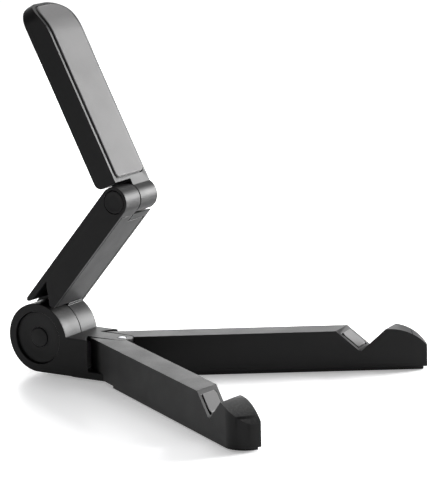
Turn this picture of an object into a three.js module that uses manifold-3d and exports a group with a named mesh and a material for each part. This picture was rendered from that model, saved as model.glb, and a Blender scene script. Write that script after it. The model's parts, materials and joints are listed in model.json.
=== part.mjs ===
// Folding desk stand for a phone or small tablet.
//
// A round hub stands at the back of a forked base. Two long legs swivel on one upright pin in the
// fork and spread into a V; each ends in a 90 degree notch that holds the edge of the device. A
// lower arm swings on the hub and an upper arm swings on the lower arm's end. Closed, the legs lie
// side by side and both arms lie straight along their tops, so the stand folds to a slim bar.
//
// Millimetres, +Z up. The origin is on the desk under the axis of the leg pin. The hub axis is
// parallel to X, and the closed legs point along -Y.

import * as THREE from 'three';
import { mergeVertices } from 'three/addons/utils/BufferGeometryUtils.js';
import Module from 'manifold-3d';

const wasm = await Module();
wasm.setup();

// ---------------------------------------------------------------- driving dimensions

const WIDTH = 24.6; // base and arms, along the hub axis
const HALF = WIDTH / 2;
const GAP = 0.3; // between pieces that touch on the real stand

const HUB_R = 15.9;
const HUB_Y = 38.5; // hub axis behind the leg pin
const HUB_Z = 17.1; // hub axis above the desk
const SEAM = 0.2; // half the gap between the two hub knuckles, at x = 0

const DECK = 19.0; // top of the base and of the legs
const BASE_BOTTOM = 1.2; // its rubber sole stands below it
const FORK_FLOOR = 4.3; // top of the fork's bottom plate
const TONGUE_BOTTOM = 16.8; // underside of the fork's top plate
const TONGUE_R = 5.0; // half width of the top plate, and radius of its nose
const FORK_R = 16.4; // back wall of the fork, about the pin

const LEG_IN = 0.3; // inner face of a leg from the pin axis
const LEG_OUT = 12.4; // outer face
const LEG_TIP = 137.8; // pin axis to the tip
const LEG_REAR_R = 14.4; // rounded rear end, about the pin
const LEG_BOTTOM = 1.7;
const LEG_SPREAD = { left: 30.7, right: 33.7 }; // degrees open, as it stands
const LEG_SPREAD_MAX = 36; // degrees, where the rear wall meets the top plate
const LEG_CORNER_R = 9.4; // outer corner of the tip, seen from above
const KNUCKLE_R = 5.7; // leg knuckles on the pin
const HOOK_TOP = 19.4; // highest point of the hook in front of the notch
const HOOK_AT = 120.4; // where it is along the leg
const HOOK_R = 23.0; // the hook's rounded top

const NOTCH_AT = 110.4; // bottom of the notch, along the leg at mid width
const NOTCH_BOTTOM = 9.6;
const NOTCH_R = 1.2; // rounded bottom
const NOTCH_YAW = 26; // degrees that the notch turns from square to the leg

const ARM_RAISED = 49.5; // degrees that the lower arm is raised from folded
const ARM_LENGTH = 79.9; // hub axis to upper hinge axis
const ARM_FRONT = 2.3; // front face from the hub axis, square to the arm
const ARM_BACK = HUB_R; // back face, tangent to the hub
const HINGE_R = (ARM_BACK - ARM_FRONT) / 2;
const HINGE_V = (ARM_BACK + ARM_FRONT) / 2;
const ARM_WALL = 1.6;
const ARM_RIB = 0.9; // half the thickness of the rib along the middle of each arm

const REST_TILT = 67.5; // degrees that the upper arm is tilted back from straight
const REST_LENGTH = 96.4; // upper hinge axis to the tip
const REST_FRONT = -5.3; // front rim from the hinge axis
const REST_BACK = 5.95; // back face
const REST_CORNER_R = 9.0; // corners of the tip, seen from the front
const REST_BEND = 79.0; // where the front starts to curve back towards the tip
const REST_BEND_R = 23.5;
const REST_NOSE_R = 2.6; // back corner of the tip
const SPLIT = -1.0; // where the two upper hinge knuckles meet, along X
const SPLIT_GAP = 0.2; // half the gap there

// Sides of a round piece, and steps along a quarter or so of a curve.
const FINE = 64;
const ROUND = 40;
const SMALL = 24;
const STEPS = 10;

const rad = THREE.MathUtils.degToRad;

// ---------------------------------------------------------------- materials

function plastic(colour, roughness) {
  return new THREE.MeshStandardMaterial({ color: colour, roughness, metalness: 0 });
}

const BLACK_ABS = plastic(0x1b1b1c, 0.52);
const CAP_ABS = plastic(0x202021, 0.6);
const BLACK_RUBBER = plastic(0x2a2a2b, 0.8);
const STEEL = new THREE.MeshStandardMaterial({ color: 0xb4b6ba, roughness: 0.35, metalness: 1 });
const FIBRE = plastic(0x3b3a38, 0.85);

// ---------------------------------------------------------------- solids

// A closed geometry as a manifold solid.
function solid(geometry) {
  const bare = geometry.clone();
  bare.deleteAttribute('normal');
  bare.deleteAttribute('uv');
  const merged = mergeVertices(bare, 1e-4);
  return new wasm.Manifold(
    new wasm.Mesh({
      numProp: 3,
      vertProperties: new Float32Array(merged.attributes.position.array),
      triVerts: new Uint32Array(merged.index.array),
    }),
  );
}

// A manifold solid back as a flat-shaded geometry.
function toGeometry(manifold) {
  const mesh = manifold.getMesh();
  const geometry = new THREE.BufferGeometry();
  geometry.setAttribute('position', new THREE.BufferAttribute(mesh.vertProperties, 3));
  geometry.setIndex(new THREE.BufferAttribute(mesh.triVerts, 1));
  geometry.computeVertexNormals();
  return geometry;
}

function cut(body, ...tools) {
  return tools.reduce((left, tool) => left.subtract(tool), body);
}

function join(first, ...others) {
  return others.reduce((whole, part) => whole.add(part), first);
}

// A box between two opposite corners.
function block(x0, x1, y0, y1, z0, z1) {
  const geometry = new THREE.BoxGeometry(x1 - x0, y1 - y0, z1 - z0);
  geometry.translate((x0 + x1) / 2, (y0 + y1) / 2, (z0 + z1) / 2);
  return solid(geometry);
}

// A cylinder along X about the axis at (y, z).
function rodX(x0, x1, y, z, radius, sides = ROUND) {
  const geometry = new THREE.CylinderGeometry(radius, radius, x1 - x0, sides);
  geometry.rotateZ(-Math.PI / 2);
  geometry.translate((x0 + x1) / 2, y, z);
  return solid(geometry);
}

// A cylinder along Z about the axis at (x, y).
function rodZ(z0, z1, x, y, radius, sides = ROUND) {
  const geometry = new THREE.CylinderGeometry(radius, radius, z1 - z0, sides);
  geometry.rotateX(Math.PI / 2);
  geometry.translate(x, y, (z0 + z1) / 2);
  return solid(geometry);
}

// An outline drawn in (x, y), extruded from z0 to z1.
function slabZ(shape, z0, z1, curveSegments = STEPS) {
  const geometry = new THREE.ExtrudeGeometry(shape, {
    depth: z1 - z0,
    bevelEnabled: false,
    curveSegments,
  });
  geometry.translate(0, 0, z0);
  return solid(geometry);
}

// An outline drawn in (y, z), extruded from x0 to x1.
function slabX(shape, x0, x1, curveSegments = STEPS) {
  const geometry = new THREE.ExtrudeGeometry(shape, {
    depth: x1 - x0,
    bevelEnabled: false,
    curveSegments,
  });
  const yzToX = new THREE.Matrix4().makeBasis(
    new THREE.Vector3(0, 1, 0),
    new THREE.Vector3(0, 0, 1),
    new THREE.Vector3(1, 0, 0),
  );
  geometry.applyMatrix4(yzToX);
  geometry.translate(x0, 0, 0);
  return solid(geometry);
}

function polygon(points) {
  return new THREE.Shape(points.map(([a, b]) => new THREE.Vector2(a, b)));
}

// A rectangle with corner radius r.
function roundedRect(x0, x1, y0, y1, r) {
  const shape = new THREE.Shape();
  shape.moveTo(x0 + r, y0);
  shape.lineTo(x1 - r, y0);
  shape.absarc(x1 - r, y0 + r, r, -Math.PI / 2, 0, false);
  shape.lineTo(x1, y1 - r);
  shape.absarc(x1 - r, y1 - r, r, 0, Math.PI / 2, false);
  shape.lineTo(x0 + r, y1);
  shape.absarc(x0 + r, y1 - r, r, Math.PI / 2, Math.PI, false);
  shape.lineTo(x0, y0 + r);
  shape.absarc(x0 + r, y0 + r, r, Math.PI, Math.PI * 1.5, false);
  return shape;
}

function mirrorX(body) {
  return body.mirror([1, 0, 0]);
}

// ---------------------------------------------------------------- hub fittings, along X

const HUB = {
  recessR: 12.2, // recess in each cheek
  recessDepth: 1.3,
  capR: 11.9,
  capThick: 1.5,
  plugR: 4.3,
  boltR: 2.8,
  wellR: 6.6, // room for the bolt head and the nut
  wellEnd: 5.0,
  discR: 9.7,
  discEnd: 2.1,
};
HUB.capFace = HALF - HUB.recessDepth;
HUB.capBack = HUB.capFace - HUB.capThick;

// What both hub knuckles have cut out of them, on the side x > 0.
function knuckleBores(y, z) {
  return [
    rodX(HUB.capBack - GAP, HALF + 1, y, z, HUB.recessR, FINE),
    rodX(HUB.wellEnd, HALF, y, z, HUB.wellR),
    rodX(-1, HALF, y, z, HUB.boltR + GAP),
    rodX(-1, HUB.discEnd + GAP, y, z, HUB.discR + GAP),
  ];
}

// The round cover sunk in a cheek, with a hole for its centre plug.
function hubCap(y, z) {
  const disc = rodX(HUB.capBack, HUB.capFace, y, z, HUB.capR, FINE);
  return cut(disc, rodX(HUB.capBack - 1, HUB.capFace + 1, y, z, HUB.plugR + GAP));
}

function hubPlug(y, z) {
  return rodX(HUB.capBack, HUB.capFace + 0.25, y, z, HUB.plugR);
}

function frictionDisc(y, z) {
  const disc = rodX(GAP, HUB.discEnd, y, z, HUB.discR);
  return cut(disc, rodX(0, HUB.discEnd + 1, y, z, HUB.boltR + GAP));
}

// ---------------------------------------------------------------- base

const CRADLE_R = HUB_R + 0.5;
const PIN = { r: 1.4, headR: 1.8, headTop: DECK + 0.1, headDepth: 0.7, footR: 3.2 };
PIN.footFrom = BASE_BOTTOM + 1.0;
PIN.footTo = BASE_BOTTOM + 1.8;
PIN.headBottom = PIN.headTop - PIN.headDepth;

// Plan of the fork: straight sides and a half-round nose about the pin.
function forkPlan(r, back) {
  const shape = new THREE.Shape();
  shape.moveTo(r, back);
  shape.lineTo(-r, back);
  shape.lineTo(-r, 0);
  shape.absarc(0, 0, r, Math.PI, Math.PI * 2, false);
  return shape;
}

const SOLE = { half: 9.3, front: -8.5, back: 24, top: 1.9, r: 3 };

function baseBody() {
  const yoke = cut(
    slabZ(forkPlan(HALF, HUB_Y), BASE_BOTTOM, DECK, 32),
    rodZ(FORK_FLOOR, DECK + 1, 0, 0, FORK_R, FINE),
    block(-SEAM, HALF + 1, HUB_Y - 10, HUB_Y + 1, -1, DECK + 1),
    rodX(-SEAM, HALF + 1, HUB_Y, HUB_Z, CRADLE_R, FINE),
  );
  const tongue = slabZ(forkPlan(TONGUE_R, FORK_R + 1), TONGUE_BOTTOM, DECK, 20);
  const knuckle = rodX(-HALF, -SEAM, HUB_Y, HUB_Z, HUB_R, FINE);
  const body = join(yoke, tongue, knuckle);
  return cut(
    body,
    ...knuckleBores(HUB_Y, HUB_Z).map(mirrorX),
    rodZ(BASE_BOTTOM, DECK, 0, 0, PIN.r + GAP, SMALL),
    rodZ(PIN.headBottom - GAP, DECK + 1, 0, 0, PIN.headR + GAP, SMALL),
    rodZ(0, PIN.footTo + GAP, 0, 0, PIN.footR + GAP, SMALL),
    slabZ(soleShape(GAP), 0, SOLE.top + GAP, 6),
  );
}

function soleShape(grow) {
  const { half, front, back, r } = SOLE;
  return roundedRect(-half - grow, half + grow, front - grow, back + grow, r);
}

function baseSole() {
  return slabZ(soleShape(0), 0, SOLE.top, 6);
}

// The leg pin is a rivet with a head sunk in the top plate.
function legPin() {
  return join(
    rodZ(PIN.footFrom, PIN.headTop - 0.2, 0, 0, PIN.r, SMALL),
    rodZ(PIN.headBottom, PIN.headTop, 0, 0, PIN.headR, SMALL),
    rodZ(PIN.footFrom, PIN.footTo, 0, 0, PIN.footR, SMALL),
  );
}

const BOLT = { headFrom: -9.0, headTo: -5.4, end: 9.1, headR: 5.2, nutFrom: 6.6, springTo: 6.2 };

function hubBolt() {
  return join(
    rodX(BOLT.headFrom, BOLT.headTo, HUB_Y, HUB_Z, BOLT.headR, 6),
    rodX(BOLT.headTo - 1, BOLT.end, HUB_Y, HUB_Z, HUB.boltR, SMALL),
  );
}

function hubNut() {
  const nut = rodX(BOLT.nutFrom, BOLT.end, HUB_Y, HUB_Z, BOLT.headR, 6);
  return cut(nut, rodX(0, HALF, HUB_Y, HUB_Z, HUB.boltR + GAP, SMALL));
}

// A dished spring washer under the nut.
function hubSpring() {
  const [x0, x1, inner, outer] = [HUB.wellEnd + GAP, BOLT.springTo, HUB.boltR + 0.35, 5.9];
  const thick = 0.6;
  const profile = [
    [inner, x1 - thick],
    [outer, x0],
    [outer, x0 + thick],
    [inner, x1],
    [inner, x1 - thick],
  ];
  const geometry = new THREE.LatheGeometry(
    profile.map(([r, h]) => new THREE.Vector2(r, h)),
    ROUND,
  );
  geometry.rotateZ(-Math.PI / 2);
  geometry.translate(0, HUB_Y, HUB_Z);
  return solid(geometry);
}

// ---------------------------------------------------------------- legs
// A leg is drawn closed, on the side x > 0, with its length along -Y.

// Plan of a leg from y = -from to the tip, with all faces moved inward by `inset`.
function legPlan(from, inset = 0, tipInset = inset) {
  const inner = LEG_IN + inset;
  const outer = LEG_OUT - inset;
  const tip = LEG_TIP - tipInset;
  const r = LEG_CORNER_R;
  const shape = new THREE.Shape();
  shape.moveTo(outer, -from);
  shape.lineTo(inner, -from);
  shape.lineTo(inner, -tip + 0.8);
  shape.absarc(inner + 0.8, -tip + 0.8, 0.8, Math.PI, Math.PI * 1.5, false);
  shape.lineTo(outer - r, -tip);
  shape.absarc(outer - r, -tip + r, r, -Math.PI / 2, 0, false);
  return shape;
}

// Side view of a leg in (y, z): flat top, then the rounded hook down to the tip.
function legSide() {
  const end = Math.asin((LEG_TIP + 1 - HOOK_AT) / HOOK_R);
  const shape = new THREE.Shape();
  shape.moveTo(0, LEG_BOTTOM);
  shape.lineTo(0, DECK);
  shape.lineTo(-NOTCH_AT, DECK);
  shape.lineTo(-NOTCH_AT, HOOK_TOP);
  shape.lineTo(-HOOK_AT, HOOK_TOP);
  shape.absarc(-HOOK_AT, HOOK_TOP - HOOK_R, HOOK_R, Math.PI / 2, Math.PI / 2 + end, false);
  shape.lineTo(-LEG_TIP - 1, LEG_BOTTOM);
  return shape;
}

// The V with its rounded bottom, drawn about the notch line and set at the notch's place.
function notchTool(offset) {
  const reach = 14;
  const r = NOTCH_R;
  const shape = new THREE.Shape();
  const tangent = r * Math.SQRT1_2;
  const centre = r;
  shape.moveTo(-tangent, centre - tangent);
  shape.absarc(0, centre, r, -Math.PI * 0.75, -Math.PI * 0.25, false);
  shape.lineTo(tangent + reach, centre - tangent + reach);
  shape.lineTo(-tangent - reach, centre - tangent + reach);
  const geometry = new THREE.ExtrudeGeometry(shape, {
    depth: 40,
    bevelEnabled: false,
    curveSegments: 8,
  });
  geometry.translate(0, -offset * Math.SQRT2, -20);
  geometry.rotateX(Math.PI / 2);
  geometry.rotateZ(-Math.PI / 2);
  geometry.rotateZ(rad(-NOTCH_YAW));
  geometry.translate((LEG_IN + LEG_OUT) / 2, -NOTCH_AT, NOTCH_BOTTOM);
  return solid(geometry);
}

// Everything of the leg behind the pin that would cross the other leg, the pin axis at the
// origin: it leaves a wall that leans outward by a little more than the widest spread.
function rearClearance(z0, z1, reach, halfWidth) {
  const turn = rad(LEG_SPREAD_MAX + 1);
  const along = new THREE.Vector2(Math.sin(turn), Math.cos(turn));
  const side = new THREE.Vector2(Math.cos(turn), -Math.sin(turn));
  const start = side.clone().multiplyScalar(halfWidth);
  const end = start.clone().addScaledVector(along, reach);
  return slabZ(
    polygon([
      [0, 0],
      [start.x, start.y],
      [end.x, end.y],
      [-reach, end.y],
      [-reach, 0],
    ]),
    z0,
    z1,
  );
}

const KNUCKLE_SPLIT = 10.55; // between the lower and the upper leg knuckle
const KNUCKLES = {
  left: [FORK_FLOOR + GAP, KNUCKLE_SPLIT - GAP / 2],
  right: [KNUCKLE_SPLIT + GAP / 2, TONGUE_BOTTOM - GAP],
};
const CHANNEL = { from: 17, to: 94, inset: 1.9, top: 16.8 };
const FOOT = { from: 117, to: 132, half: 3.2, r: 3.1, top: 1.1 };
const LEG_MID = (LEG_IN + LEG_OUT) / 2;
const COVER = { bottom: 0.2, top: 1.4, from: 14.5, inset: 0.7, tipInset: 1.7, ribTop: 3.0 };

function legShell(hand) {
  const own = KNUCKLES[hand];
  const other = KNUCKLES[hand === 'left' ? 'right' : 'left'];
  const front = slabZ(legPlan(0), LEG_BOTTOM, HOOK_TOP + 1, 12).intersect(
    slabX(legSide(), -1, LEG_OUT + 1, 12),
  );
  const rear = slabZ(
    polygon([
      [LEG_IN, -1],
      [LEG_OUT, -1],
      [LEG_OUT, LEG_REAR_R],
      [LEG_IN, LEG_REAR_R],
    ]),
    FORK_FLOOR + GAP,
    DECK,
  ).intersect(rodZ(0, DECK, 0, 0, LEG_REAR_R, FINE));
  const bar = cut(
    join(front, rear),
    rearClearance(0, DECK + 1, 30, LEG_IN),
    rearClearance(TONGUE_BOTTOM - GAP, DECK + 1, 30, TONGUE_R + GAP),
    rodZ(TONGUE_BOTTOM - GAP, DECK + 1, 0, 0, TONGUE_R + GAP, ROUND),
    rodZ(0, FORK_FLOOR + GAP, 0, 0, HALF + 1.3, FINE),
    rodZ(other[0] - GAP / 2, other[1] + GAP / 2, 0, 0, KNUCKLE_R + GAP, ROUND),
  );
  const withKnuckle = join(bar, rodZ(own[0], own[1], 0, 0, KNUCKLE_R, ROUND));
  const { from, to, inset, top } = CHANNEL;
  return cut(
    withKnuckle,
    rodZ(0, DECK, 0, 0, PIN.r + GAP, SMALL),
    notchTool(0),
    notchPadSeat(),
    block(LEG_IN + inset, LEG_OUT - inset, -to, -from, 0, top),
  );
}

function legCover() {
  const { bottom, top, from, inset, tipInset, ribTop } = COVER;
  const plate = slabZ(legPlan(from, inset, tipInset), bottom, top, 12);
  const ribInset = CHANNEL.inset + GAP;
  const rib = block(
    LEG_IN + ribInset,
    LEG_OUT - ribInset,
    -CHANNEL.to + GAP,
    -CHANNEL.from - GAP,
    top - 0.5,
    ribTop,
  );
  return cut(join(plate, rib), slabZ(footShape(GAP), 0, 2, 6));
}

function footShape(grow) {
  const { from, to, half, r } = FOOT;
  return roundedRect(LEG_MID - half - grow, LEG_MID + half + grow, -to - grow, -from + grow, r);
}

function legFoot() {
  return slabZ(footShape(0), 0, FOOT.top, 6);
}

// The pad lies on the notch face that leans towards the tip. It is a slice parallel to that
// face, cut to a lozenge whose sides follow the leg's sides.
const PAD = { inset: 2.0, proud: 0.4, deep: 0.9, high: 1.5, low: 1.8 };

// The pad's lozenge in plan, between two heights on the notch face, grown by `grow`.
function padPlan(grow) {
  const tanYaw = Math.tan(rad(NOTCH_YAW));
  const inner = LEG_IN + PAD.inset - grow;
  const outer = LEG_OUT - PAD.inset + grow;
  const faceRun = (DECK - NOTCH_BOTTOM) / Math.cos(rad(NOTCH_YAW));
  const upper = NOTCH_AT - faceRun + PAD.high - grow;
  const lower = NOTCH_AT - PAD.low + grow;
  const skew = (x) => (x - LEG_MID) * tanYaw;
  return polygon([
    [inner, -upper - skew(inner)],
    [inner, -lower - skew(inner)],
    [outer, -lower - skew(outer)],
    [outer, -upper - skew(outer)],
  ]);
}

function notchSlice(above, below, plan) {
  return slabZ(plan, 0, DECK + 4).intersect(notchTool(below).subtract(notchTool(-above)));
}

function notchPad() {
  return notchSlice(PAD.proud, PAD.deep - GAP, padPlan(0));
}

function notchPadSeat() {
  return notchSlice(0.5, PAD.deep, padPlan(GAP));
}

// ---------------------------------------------------------------- lower arm
// An arm is drawn folded flat about its own pivot: its length runs along -Y, its front face
// looks down, and (u, v) are the distances along the arm and towards its back.

function sideShape(points) {
  return polygon(points.map(([u, v]) => [-u, v]));
}

const COVER_PANEL = {
  half: 10.4,
  from: 17.6,
  toLeft: 76.0,
  toRight: 72.0,
  step: -1.6,
  thick: 1.6,
};
const ARM_HOLLOWS = { far: 68, nearLeft: 32, nearRight: 27, backWall: 2.8 };
const POCKET = { far: 30, near: 5, frontWall: 1.2 }; // open pocket at the foot, on the left
const CRADLE = HINGE_R + 0.45;
const LIP_END = 76.3; // the front wall stops here, under the upper arm's knuckle

// Left side of the lower arm: the back wall runs down past an open pocket as a pointed flap.
function armLeftSide() {
  return [
    [17.6, ARM_FRONT],
    [16.9, 4.5],
    [17.9, 5.6],
    [20.3, 8.3],
    [22.3, 10.9],
    [24.6, 12.8],
    [14.3, 13.0],
    [10.7, 13.5],
    [9.5, 14.7],
    [9.7, 15.3],
    [10.6, ARM_BACK],
    [ARM_LENGTH, ARM_BACK],
    [ARM_LENGTH, ARM_FRONT],
  ];
}

function armRightSide() {
  return [
    [0, 0],
    [HUB_R - 0.3, ARM_FRONT],
    [ARM_LENGTH, ARM_FRONT],
    [ARM_LENGTH, ARM_BACK],
    [0, ARM_BACK],
  ];
}

function lowerArmBody() {
  const left = join(
    slabX(sideShape(armLeftSide()), -HALF, SEAM + 0.5),
    rodX(-HALF, SEAM + 0.5, -ARM_LENGTH, HINGE_V, HINGE_R, FINE),
  );
  const right = join(
    slabX(sideShape(armRightSide()), SEAM, HALF),
    rodX(SEAM, HALF, 0, 0, HUB_R, FINE),
    rodX(SEAM, HALF, -ARM_LENGTH, HINGE_V, HINGE_R, FINE),
  );
  const upperRoom = join(
    rodX(SPLIT - SPLIT_GAP, HALF + 1, -ARM_LENGTH, HINGE_V, CRADLE, FINE),
    block(SPLIT - SPLIT_GAP, HALF + 1, -ARM_LENGTH, -LIP_END, ARM_FRONT - 1, HINGE_V),
    block(
      SPLIT - SPLIT_GAP,
      HALF + 1,
      -ARM_LENGTH - HINGE_R - 1,
      -ARM_LENGTH + CRADLE,
      HINGE_V,
      ARM_BACK + 1,
    ),
  );
  const seat = slabX(
    sideShape([
      [17, ARM_FRONT - 1],
      [17, ARM_FRONT + COVER_PANEL.thick + GAP],
      [COVER_PANEL.toRight + GAP, ARM_FRONT + COVER_PANEL.thick + GAP],
      [COVER_PANEL.toRight + GAP, ARM_FRONT - 1],
    ]),
    -COVER_PANEL.half - GAP,
    COVER_PANEL.half + GAP,
  );
  const seatLeft = block(
    -COVER_PANEL.half - GAP,
    COVER_PANEL.step + GAP,
    -COVER_PANEL.toLeft - GAP,
    -20,
    ARM_FRONT - 1,
    ARM_FRONT + COVER_PANEL.thick + GAP,
  );
  const { far, nearLeft, nearRight, backWall } = ARM_HOLLOWS;
  const roof = ARM_BACK - backWall;
  const hollows = [
    block(-HALF + ARM_WALL, -ARM_RIB, -far, -nearLeft, ARM_FRONT, roof),
    block(ARM_RIB, HALF - ARM_WALL, -far, -nearRight, ARM_FRONT, roof),
  ];
  const pocketFloor = ARM_FRONT + COVER_PANEL.thick + GAP + POCKET.frontWall;
  const pocket = block(
    -HALF + ARM_WALL,
    -SEAM - 0.6,
    -POCKET.far,
    -POCKET.near,
    pocketFloor,
    roof,
  );
  return cut(
    join(left, right),
    upperRoom,
    rodX(-HALF - 1, SEAM, 0, 0, HUB_R + 0.6, FINE),
    ...knuckleBores(0, 0),
    seat,
    seatLeft,
    ...hollows,
    pocket,
    rodX(-HALF - 1, -HALF + HINGE.plugDepth, -ARM_LENGTH, HINGE_V, HINGE.plugR + GAP),
    rodX(-HALF - 1, 1, -ARM_LENGTH, HINGE_V, HINGE.pinR + GAP, SMALL),
    rodX(HINGE.washerFrom - GAP, 1, -ARM_LENGTH, HINGE_V, HINGE.washerR + GAP),
  );
}

function lowerArmCover() {
  const { half, from, toLeft, toRight, step, thick } = COVER_PANEL;
  const outline = polygon([
    [-half, -from],
    [-half, -toLeft],
    [step, -toLeft],
    [step, -toRight],
    [half, -toRight],
    [half, -from],
  ]);
  return slabZ(outline, ARM_FRONT, ARM_FRONT + thick);
}

// ---------------------------------------------------------------- upper hinge

const HINGE = {
  pinR: 2.2,
  pinEnd: 10.2,
  plugR: 5.1,
  plugDepth: 1.9,
  washerR: 5.4,
  washerFrom: SPLIT - SPLIT_GAP - 0.75,
  washerTo: SPLIT - SPLIT_GAP - 0.05,
};

function hingePin() {
  return rodX(-HINGE.pinEnd, HINGE.pinEnd, 0, 0, HINGE.pinR, SMALL);
}

function hingePlug() {
  return rodX(-HALF, -HALF + HINGE.plugDepth - GAP, 0, 0, HINGE.plugR);
}

function hingeWasher() {
  const disc = rodX(HINGE.washerFrom, HINGE.washerTo, 0, 0, HINGE.washerR);
  return cut(disc, rodX(-HALF, HALF, 0, 0, HINGE.pinR + GAP, SMALL));
}

// ---------------------------------------------------------------- upper arm

// Plan of the upper arm from y = -from to the rounded tip, moved inward by `inset`. The corners
// near the hinge have radius r.
function restPlan(from, inset, r, to = REST_LENGTH) {
  const half = HALF - inset;
  const tip = to - inset;
  const corner = REST_CORNER_R - inset;
  const shape = new THREE.Shape();
  shape.moveTo(half - r, -from);
  shape.lineTo(-half + r, -from);
  if (r > 0) shape.absarc(-half + r, -from - r, r, Math.PI / 2, Math.PI, false);
  shape.lineTo(-half, -tip + corner);
  shape.absarc(-half + corner, -tip + corner, corner, Math.PI, Math.PI * 1.5, false);
  shape.lineTo(half - corner, -tip);
  shape.absarc(half - corner, -tip + corner, corner, -Math.PI / 2, 0, false);
  shape.lineTo(half, -from - r);
  if (r > 0) shape.absarc(half - r, -from - r, r, 0, Math.PI / 2, false);
  return shape;
}

// Everything behind the upper arm's front surface in side view: flat, then curving back towards
// the tip. The surface is moved outward by `proud`.
function behindFront(from, proud) {
  const r = REST_BEND_R + proud;
  const centre = REST_FRONT + REST_BEND_R;
  const tip = REST_LENGTH + 1;
  const sweep = Math.asin((tip - REST_BEND) / r);
  const shape = new THREE.Shape();
  shape.moveTo(-from, REST_FRONT - proud);
  shape.lineTo(-from, 2 * HINGE_R);
  shape.lineTo(-tip, 2 * HINGE_R);
  shape.absarc(-REST_BEND, centre, r, Math.PI * 1.5 - sweep, Math.PI * 1.5, false);
  return shape;
}

// The back of the upper arm in side view: a round heel near the hinge and a round nose.
function restBack(from, heel) {
  const nose = REST_NOSE_R;
  const shape = new THREE.Shape();
  shape.moveTo(-from, -2 * HINGE_R);
  shape.lineTo(-from, REST_BACK - heel);
  if (heel > 0) shape.absarc(-from - heel, REST_BACK - heel, heel, 0, Math.PI / 2, false);
  shape.lineTo(-REST_LENGTH + nose, REST_BACK);
  shape.absarc(-REST_LENGTH + nose, REST_BACK - nose, nose, Math.PI / 2, Math.PI, false);
  shape.lineTo(-REST_LENGTH, -2 * HINGE_R);
  return shape;
}

function restBar(x0, x1, from, heel) {
  return slabX(restBack(from, heel), x0, x1).intersect(slabX(behindFront(from, 0), x0 - 1, x1 + 1));
}

// The layer between `proud` above the front surface and `depth` below it, over a plan outline.
function restLayer(plan, proud, depth) {
  const over = slabX(behindFront(-20, proud), -HALF - 1, HALF + 1);
  const under = slabX(behindFront(-21, -depth), -HALF - 2, HALF + 2);
  return slabZ(plan, -HINGE_R - 2, REST_BACK).intersect(over).subtract(under);
}

const REST_PAD = { from: 9.2, inset: 1.7, r: 2.2, proud: 0.7, seat: 0.9 };
const REST_HOLLOWS = { side: 3.4, far: 12, near: 6, backWall: 1.8 };
const PAD_PLATE = { thick: 1.3, inset: 2.4, from: 10.7, to: 84 };
PAD_PLATE.face = REST_FRONT + REST_PAD.seat;
PAD_PLATE.back = PAD_PLATE.face + PAD_PLATE.thick;

function upperArmBody() {
  const left = restBar(-HALF, SPLIT + SPLIT_GAP + 0.5, 7.4, 3.6);
  const right = join(
    restBar(SPLIT + SPLIT_GAP, HALF, 0, 0),
    rodX(SPLIT + SPLIT_GAP, HALF, 0, 0, HINGE_R, FINE),
  );
  const outline = slabZ(restPlan(-HINGE_R - 1, 0, 0), -HINGE_R - 1, HINGE_R + 1, 14);
  const { from, inset, r, seat } = REST_PAD;
  const plateSeat = slabZ(
    restPlan(PAD_PLATE.from, PAD_PLATE.inset - GAP, 1.5, PAD_PLATE.to + GAP),
    REST_FRONT,
    PAD_PLATE.back + GAP,
    6,
  );
  const { side, far, near, backWall } = REST_HOLLOWS;
  const roof = REST_BACK - backWall;
  const hollows = [
    block(-HALF + side, -ARM_RIB, -PAD_PLATE.to + far, -from - near, REST_FRONT, roof),
    block(ARM_RIB, HALF - side, -PAD_PLATE.to + far, -from - near, REST_FRONT, roof),
  ];
  return cut(
    join(left, right).intersect(outline),
    rodX(-HALF - 1, SPLIT + SPLIT_GAP, 0, 0, HINGE_R + 0.5, FINE),
    restLayer(restPlan(from - GAP, inset - GAP, r), 1, seat),
    plateSeat,
    ...hollows,
    rodX(HALF - HINGE.plugDepth, HALF + 1, 0, 0, HINGE.plugR + GAP),
    rodX(-HALF - 1, HALF, 0, 0, HINGE.pinR + GAP, SMALL),
  );
}

function upperArmPadPlate() {
  const { from, inset, to, face, back } = PAD_PLATE;
  const plan = restPlan(from + GAP, inset, 1.5, to);
  const plate = slabZ(plan, face, back, 6);
  return cut(plate, restLayer(restPlan(-1, 0, 0), 1, REST_PAD.seat));
}

function upperArmPad() {
  const { from, inset, r, proud, seat } = REST_PAD;
  return restLayer(restPlan(from, inset, r), proud, seat - GAP);
}

// ---------------------------------------------------------------- assembly

function piece(name, body, material) {
  const mesh = new THREE.Mesh(toGeometry(body), material);
  mesh.name = name;
  return mesh;
}

function baseGroup() {
  const group = new THREE.Group();
  group.add(
    piece('base_body', baseBody(), BLACK_ABS),
    piece('base_sole', baseSole(), BLACK_RUBBER),
    piece('leg_pin', legPin(), STEEL),
    piece('hub_cap_left', mirrorX(hubCap(HUB_Y, HUB_Z)), CAP_ABS),
    piece('hub_plug_left', mirrorX(hubPlug(HUB_Y, HUB_Z)), CAP_ABS),
    piece('hub_disc_base', mirrorX(frictionDisc(HUB_Y, HUB_Z)), FIBRE),
    piece('hub_bolt', hubBolt(), STEEL),
    piece('hub_nut', hubNut(), STEEL),
    piece('hub_spring', hubSpring(), STEEL),
  );
  return group;
}

function legGroup(hand) {
  const group = new THREE.Group();
  const handed = (body) => (hand === 'left' ? mirrorX(body) : body);
  group.add(
    piece(`leg_${hand}_shell`, handed(legShell(hand)), BLACK_ABS),
    piece(`leg_${hand}_cover`, handed(legCover()), CAP_ABS),
    piece(`leg_${hand}_foot`, handed(legFoot()), BLACK_RUBBER),
    piece(`leg_${hand}_notch_pad`, handed(notchPad()), BLACK_RUBBER),
  );
  group.rotation.z = rad(LEG_SPREAD[hand]) * (hand === 'left' ? -1 : 1);
  return group;
}

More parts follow.
